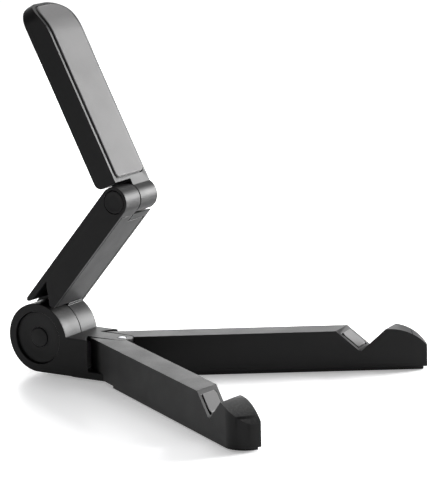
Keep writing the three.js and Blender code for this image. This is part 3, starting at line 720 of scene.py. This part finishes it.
class StandStudio(bpy.types.PropertyGroup):
    """Lights of the stage."""

    key_power: FloatProperty(
        name="Key light", description="Power of the soft light in front, to the right",
        unit="POWER", default=46.0, min=0.0)
    back_power: FloatProperty(
        name="Back light", description="Power of the wide light behind, to the right",
        unit="POWER", default=4.0, min=0.0)
    top_power: FloatProperty(
        name="Top light", description="Power of the overhead light",
        unit="POWER", default=22.0, min=0.0)
    dome: FloatProperty(
        name="Room light", description="Strength of the even light of the room",
        default=0.45, min=0.0)


# ---------------------------------------------------------------- operators


class STAND_OT_stage(bpy.types.Operator):
    """Pale floor, soft lights and the camera"""

    bl_idname = "stand.stage"
    bl_label = "Stage"

    def execute(self, context):
        scene, studio = context.scene, context.scene.stand_studio
        self.floor(scene)
        self.room(scene, studio)
        self.lamp(scene, "key_light", (1.05, -0.70, 0.36), (0.5, 0.6), studio.key_power)
        self.lamp(scene, "back_light", (0.80, 0.70, 0.24), (0.9, 0.36), studio.back_power)
        self.lamp(scene, "top_light", (0.65, 0.45, 1.6), (1.8, 1.8), studio.top_power)
        self.camera(scene)
        return {"FINISHED"}

    def floor(self, scene):
        """A round sheet: rings of growing radius about the origin, at z = 0."""
        radius = np.array([0.0, 0.4, 1.2, 3.0, 9.0])
        t = np.linspace(0, 2 * math.pi, 64, endpoint=False)
        sheet = radius[:, None, None] * np.stack([np.cos(t), np.sin(t), 0 * t], 1)
        count, size = sheet.shape[:2]
        near = np.arange(count - 1)[:, None] * size + np.arange(size)
        side = np.roll(near, -1, 1)
        faces = np.stack([near, near + size, side + size, side], 2).reshape(-1, 4)
        mesh = bpy.data.meshes.new("floor")
        mesh.from_pydata(sheet.reshape(-1, 3), [], faces.tolist())
        closed = bmesh.new()
        closed.from_mesh(mesh)
        bmesh.ops.remove_doubles(closed, verts=closed.verts, dist=1e-5)
        closed.to_mesh(mesh)
        closed.free()
        material = bpy.data.materials.new("white table top")
        material.use_nodes = True
        shader = material.node_tree.nodes["Principled BSDF"]
        shader.inputs["Base Color"].default_value = (0.9, 0.9, 0.905, 1)
        shader.inputs["Roughness"].default_value = 0.38
        shader.inputs["Specular IOR Level"].default_value = 0.35
        shader.inputs["Emission Color"].default_value = (1.0, 1.0, 1.0, 1)
        shader.inputs["Emission Strength"].default_value = 0.35
        mesh.materials.append(material)
        floor = bpy.data.objects.new("floor", mesh)
        scene.collection.objects.link(floor)

    def room(self, scene, studio):
        """Even room light, dimmer on the left, plain and pale where the camera looks past."""
        world = bpy.data.worlds.new("room")
        world.use_nodes = True
        scene.world = world
        tree = world.node_tree
        tree.nodes.clear()
        way = wire(tree, "ShaderNodeTexCoord").outputs["Generated"]
        bright = wire(tree, "ShaderNodeVectorMath", {0: way, 1: (0.86, 0.2, 0.47)},
                      operation="DOT_PRODUCT").outputs["Value"]
        level = wire(tree, "ShaderNodeMapRange", {
            "Value": bright, "From Min": -0.2, "From Max": 0.9, "To Min": 0.0, "To Max": 1.0,
        }).outputs["Result"]
        seen = wire(tree, "ShaderNodeLightPath").outputs["Is Camera Ray"]
        strength = sums(tree, "MULTIPLY", level, studio.dome)
        strength = wire(tree, "ShaderNodeMix", {0: seen, 2: strength, 3: 0.95})
        back = wire(tree, "ShaderNodeBackground", {
            "Color": (0.98, 0.985, 1.0, 1), "Strength": strength.outputs[0],
        })
        wire(tree, "ShaderNodeOutputWorld", {"Surface": back.outputs[0]})

    def lamp(self, scene, name, place, size, power):
        """A rectangular soft light that looks at the middle of the stand."""
        light = bpy.data.lights.new(name, "AREA")
        light.shape = "RECTANGLE"
        light.size, light.size_y = size
        light.energy = power
        lamp = bpy.data.objects.new(name, light)
        scene.collection.objects.link(lamp)
        lamp.location = place
        aim = LIGHTS_AIM - Vector(place)
        lamp.rotation_euler = aim.to_track_quat("-Z", "Y").to_euler()
        lamp.visible_camera = False

    def camera(self, scene):
        """Long lens from the front left, a little above the hub, rolled slightly."""
        view = bpy.data.cameras.new("camera")
        view.lens, view.sensor_width = LENS, SENSOR
        view.clip_start, view.clip_end = 0.05, 50.0
        camera = bpy.data.objects.new("camera", view)
        scene.collection.objects.link(camera)
        level = (CAMERA_AIM - CAMERA_AT).to_track_quat("-Z", "Y").to_matrix().to_4x4()
        roll = Matrix.Rotation(CAMERA_ROLL, 4, "Z")
        camera.matrix_world = Matrix.Translation(CAMERA_AT) @ level @ roll
        scene.camera = camera
        scene.view_settings.view_transform = "Standard"


class STAND_OT_base(bpy.types.Operator):
    """Forked base with its rubber sole and the rivet that the legs turn on"""

    bl_idname = "stand.base"
    bl_label = "Base"

    def execute(self, context):
        shape = context.scene.stand_shape
        mesh = softened("base_moulding", "base_body", shape.shell_round)
        fit_piece("base_moulding", mesh, black_shell(), "base", "shell", "base_body")
        low, high = (np.array(c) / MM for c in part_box("base_sole"))
        corners = [(low[0], low[1]), (high[0], low[1]), (high[0], high[1]), (low[0], high[1])]
        rim = edge_section(low[2], high[2], 0.3, 0.2)
        mesh = plate("sole", corners, [3.0] * 4, rim, self.flat)
        fit_piece("sole", mesh, black_rubber(), "base", "rubber", "base_sole")
        head = edge_section(18.4, 19.1, 0.1, 0.35, 5)
        rivet = np.concatenate([
            [(0.0, 2.2), (3.1, 2.2), (3.2, 2.3), (3.2, 2.9), (3.1, 3.0), (1.4, 3.0), (1.4, 18.4)],
            np.stack([1.8 - head[:, 0], head[:, 1]], 1),
            [(0.9, 19.09), (0.0, 19.1)],
        ])
        mesh = skin("leg_rivet", settle(turned(rivet, (0, 0, 0), (0, 0, 1), 48), "base"))
        fit_piece("leg_rivet", mesh, zinc_steel(), "base", "steel", "leg_pin")
        return {"FINISHED"}

    @staticmethod
    def flat(outline, height):
        """Outline on the desk, lifted to a height."""
        x, y = outline.T
        return settle(np.stack([x, y, np.full(len(x), height)], 1), "base")


class STAND_OT_hub_caps(bpy.types.Operator):
    """Dished caps and centre plugs sunk in both cheeks of the hub"""

    bl_idname = "stand.hub_caps"
    bl_label = "Hub caps"

    def execute(self, context):
        dish = context.scene.stand_shape.cap_dish / MM
        back, face, outer, hole = 9.5, 11.0, 11.9, 4.6
        r = np.linspace(outer - 0.9, hole + 0.5, 12)
        sunk = face - dish * np.sin(math.pi * (outer - 0.9 - r) / (r[0] - r[-1]) / 2) ** 2
        rim = edge_section(back, face, 0.15, 0.25)
        inner = edge_section(back, face - dish, 0.15, 0.2)[::-1]
        ring = np.concatenate([
            np.stack([outer - rim[:, 0], rim[:, 1]], 1),
            np.stack([r, sunk], 1),
            np.stack([hole + inner[:, 0], inner[:, 1]], 1),
        ])
        wear_and_highlight = np.concatenate([rim[:, 2], 0 * r, inner[:, 2]])
        edge = edge_section(back, face + 0.1, 0.15, 0.3)
        dome = np.linspace(3.6, 0, 5)
        plug = np.concatenate([
            [(0.0, back)],
            np.stack([4.45 - edge[:, 0], edge[:, 1]], 1),
            np.stack([dome, face + 0.1 + 0.15 * (1 - (dome / 4.0) ** 2)], 1),
        ])
        plug_wear_and_highlight = np.concatenate([[0], edge[:, 2], 0 * dome])
        for hand, way, body in (("left", -1.0, "base"), ("right", 1.0, "lower_arm")):
            at, axis = (0, HUB_Y, HUB_Z), (way, 0, 0)
            mesh = skin("hub_cap_" + hand + "_dish", settle(turned(ring, at, axis), body), wear_and_highlight,
                        looped=True)
            fit_piece(mesh.name, mesh, black_cap(), body, "cap", "hub_cap_" + hand)
            mesh = skin("hub_plug_" + hand + "_button",
                        settle(turned(plug, at, axis, 64), body), plug_wear_and_highlight)
            fit_piece(mesh.name, mesh, black_cap(), body, "cap", "hub_plug_" + hand)
        return {"FINISHED"}


class STAND_OT_legs(bpy.types.Operator):
    """Both legs: shell, bottom cover, rubber foot and the soft pad in the notch"""

    bl_idname = "stand.legs"
    bl_label = "Legs"

    def execute(self, context):
        width = context.scene.stand_shape.shell_round
        for hand, way in (("left", -1.0), ("right", 1.0)):
            body, stem = hand + "_leg", "leg_" + hand
            mesh = softened(stem + "_moulding", stem + "_shell", width)
            fit_piece(mesh.name, mesh, black_shell(), body, "shell", stem + "_shell")
            mesh = softened(stem + "_bottom", stem + "_cover", width / 2)
            fit_piece(mesh.name, mesh, black_cap(), body, "cap", stem + "_cover")
            rim = edge_section(0.0, 1.1, 0.3, 0.1)
            corners = [(LEG_MIDDLE - 3.2, -132), (LEG_MIDDLE + 3.2, -132),
                       (LEG_MIDDLE + 3.2, -117), (LEG_MIDDLE - 3.2, -117)]
            mesh = plate(stem + "_rubber_foot", corners, [3.1] * 4, rim,
                         lambda outline, height: self.flat(outline, height, way, body))
            fit_piece(mesh.name, mesh, black_rubber(), body, "rubber", stem + "_foot")
            mesh = self.notch_pad(stem + "_soft_pad", way, body)
            fit_piece(mesh.name, mesh, grey_pad(), body, "pad", stem + "_notch_pad")
        return {"FINISHED"}

    @staticmethod
    def flat(outline, height, way, body):
        """Outline in the leg's plan, on the leg's own side, lifted to a height."""
        x, y = outline.T
        return settle(np.stack([way * x, y, np.broadcast_to(height, x.shape)], 1), body)

    def notch_pad(self, name, way, body):
        """Rounded lozenge on the notch face: the face climbs at 45 degrees from the notch
        line, z = floor + distance from the line - r (sqrt 2 - 1), and the pad stands a height
        h off it, which lifts z by h sqrt 2."""
        run = (DECK - NOTCH_FLOOR) / math.cos(NOTCH_TURN)
        inner, outer = 2.3, 10.4
        slope = math.tan(NOTCH_TURN)
        ends = [(inner, 1.8), (outer, 1.8), (outer, run - 1.5), (inner, run - 1.5)]
        corners = [(x, -(NOTCH_AT - back) - (x - LEG_MIDDLE) * slope) for x, back in ends]

        def lift(outline, height):
            x, y = outline.T
            line = -NOTCH_AT - (x - LEG_MIDDLE) * slope
            climb = (y - line) * math.cos(NOTCH_TURN)
            z = NOTCH_FLOOR + climb - NOTCH_ROUND * (math.sqrt(2) - 1) + math.sqrt(2) * height
            return self.flat(outline, z, way, body)

        return plate(name, corners, [0.8] * 4, edge_section(-0.6, 0.4, 0.1, 0.3), lift)


class STAND_OT_lower_arm(bpy.types.Operator):
    """Lower arm with its stepped front cover and the plug on the upper hinge"""

    bl_idname = "stand.lower_arm"
    bl_label = "Lower arm"

    def execute(self, context):
        shape = context.scene.stand_shape
        mesh = softened("lower_arm_moulding", "lower_arm_body", shape.shell_round)
        fit_piece(mesh.name, mesh, black_shell(), "lower_arm", "shell", "lower_arm_body")
        corners = [(-10.25, 17.75), (10.25, 17.75), (10.25, 71.85), (-1.75, 71.85),
                   (-1.75, 75.85), (-10.25, 75.85)]
        rim = edge_section(2.3, 3.9, 0.12, 0.1)
        mesh = plate("lower_arm_front_cover", corners, [0.6, 0.6, 0.8, 0.3, 0.5, 0.8], rim,
                     lambda outline, height: settle(arm_points(outline, height, 0, 0),
                                                    "lower_arm"))
        fit_piece(mesh.name, mesh, black_shell(), "lower_arm", "shell", "lower_arm_cover")
        hinge_plug("left", -1.0, "lower_arm")
        return {"FINISHED"}


def hinge_plug(hand, way, body):
    """Round plug over an end of the hinge pin: a turned disc with a rounded rim and a
    slightly sunk face."""
    rim = edge_section(0.0, 1.6, 0.15, 0.3)
    face = np.linspace(4.3, 0, 6)
    profile = np.concatenate([
        [(0.0, 0.0)],
        np.stack([5.1 - rim[:, 0], rim[:, 1]], 1),
        np.stack([face, 1.6 - 0.1 * np.clip((4.3 - face) / 0.6, 0, 1)], 1),
    ])
    wear_and_highlight = np.concatenate([[0], rim[:, 2], 0 * face])
    at = (way * (HALF_WIDTH - 1.6), HUB_Y - ARM_LENGTH, HUB_Z + HINGE_HEIGHT)
    rings = settle(turned(profile, at, (way, 0, 0), 64), body)
    mesh = skin("hinge_plug_" + hand + "_button", rings, wear_and_highlight)
    fit_piece(mesh.name, mesh, black_cap(), body, "cap", "hinge_plug_" + hand)


class STAND_OT_upper_arm(bpy.types.Operator):
    """Upper arm with the soft facing that the device leans on, and its hinge plug"""

    bl_idname = "stand.upper_arm"
    bl_label = "Upper arm"

    def execute(self, context):
        shape = context.scene.stand_shape
        mesh = softened("upper_arm_moulding", "upper_arm_body", shape.shell_round)
        fit_piece(mesh.name, mesh, black_shell(), "upper_arm", "shell", "upper_arm_body")
        mesh = self.facing(shape.pad_round / MM)
        pad = fit_piece(mesh.name, mesh, grey_pad(), "upper_arm", "pad", "upper_arm_pad")
        refinish(black_cap(), "upper_arm_pad_plate")
        hinge_plug("right", 1.0, "upper_arm")
        return {"FINISHED"}

    def facing(self, rounding):
        """Soft facing over the arm's front: the rounded outline moves inward ring by ring to
        the middle line, and each point stands h off the front, which is flat up to the bend
        and then an arc: v = front + R - sqrt((R + h)^2 - max(u - bend, 0)^2)."""
        half, start, end = 10.45, 9.35, 94.55
        corners = [(-half, start), (half, start), (half, end), (-half, end)]
        rim = edge_section(-0.6, 0.7, 0.15, rounding, 5)
        middle = np.array([1.4, 3.0, 5.5, 8.0, half - 0.02])
        spread = np.stack([middle, np.full(5, 0.7), np.zeros(5)], 1)
        under = np.stack([middle[::-1], np.full(5, -0.6), np.zeros(5)], 1)
        rim = np.concatenate([under, rim, spread])

        def lift(outline, height):
            past = np.maximum(outline[:, 1] - REST_BEND, 0)
            v = REST_FRONT + REST_BEND_R - np.sqrt((REST_BEND_R + height) ** 2 - past**2)
            drawn = arm_points(outline, v, ARM_LENGTH, HINGE_HEIGHT)
            return settle(drawn, "upper_arm")

        return plate("upper_arm_soft_facing", corners, [2.1, 2.1, 7.2, 7.2], rim, lift,
                     arc_steps=10, edge_steps=40)


class STAND_OT_fittings(bpy.types.Operator):
    """Finishes for the bolt, nut, spring, discs and pin inside the hinges"""

    bl_idname = "stand.fittings"
    bl_label = "Hidden fittings"

    def execute(self, context):
        refinish(zinc_steel(), "hub_bolt", "hub_nut", "hub_spring", "hinge_pin")
        refinish(friction_fibre(), "hub_disc_base", "hub_disc_arm", "hinge_washer")
        return {"FINISHED"}


class STAND_PT_pieces(bpy.types.Panel):
    """Lists the settings and the pieces"""

    bl_label = "Folding stand"
    bl_idname = "STAND_PT_pieces"
    bl_space_type = "VIEW_3D"
    bl_region_type = "UI"
    bl_category = "Stand"

    def draw(self, context):
        for group in (context.scene.stand_shape, context.scene.stand_finish,
                      context.scene.stand_studio):
            box = self.layout.box()
            for key in group.__annotations__:
                box.prop(group, key)
        for operator in OPERATORS:
            self.layout.operator(operator.bl_idname)


OPERATORS = (STAND_OT_stage, STAND_OT_base, STAND_OT_hub_caps, STAND_OT_legs,
             STAND_OT_lower_arm, STAND_OT_upper_arm, STAND_OT_fittings)
SETTINGS = {"stand_finish": StandFinish, "stand_shape": StandShape, "stand_studio": StandStudio}


def register():
    """Registers the settings, the operators and the panel."""
    for kind in (*SETTINGS.values(), *OPERATORS, STAND_PT_pieces):
        bpy.utils.register_class(kind)
    for name, kind in SETTINGS.items():
        setattr(bpy.types.Scene, name, PointerProperty(type=kind))


def unregister():
    """Removes them again, in the opposite order."""
    for name in SETTINGS:
        delattr(bpy.types.Scene, name)
    for kind in (STAND_PT_pieces, *reversed(OPERATORS), *SETTINGS.values()):
        bpy.utils.unregister_class(kind)


def main():
    register()
    for operator in (bpy.ops.stand.stage, bpy.ops.stand.base, bpy.ops.stand.hub_caps,
                     bpy.ops.stand.legs, bpy.ops.stand.lower_arm, bpy.ops.stand.upper_arm,
                     bpy.ops.stand.fittings):
        operator()


if __name__ == "__main__":
    main()
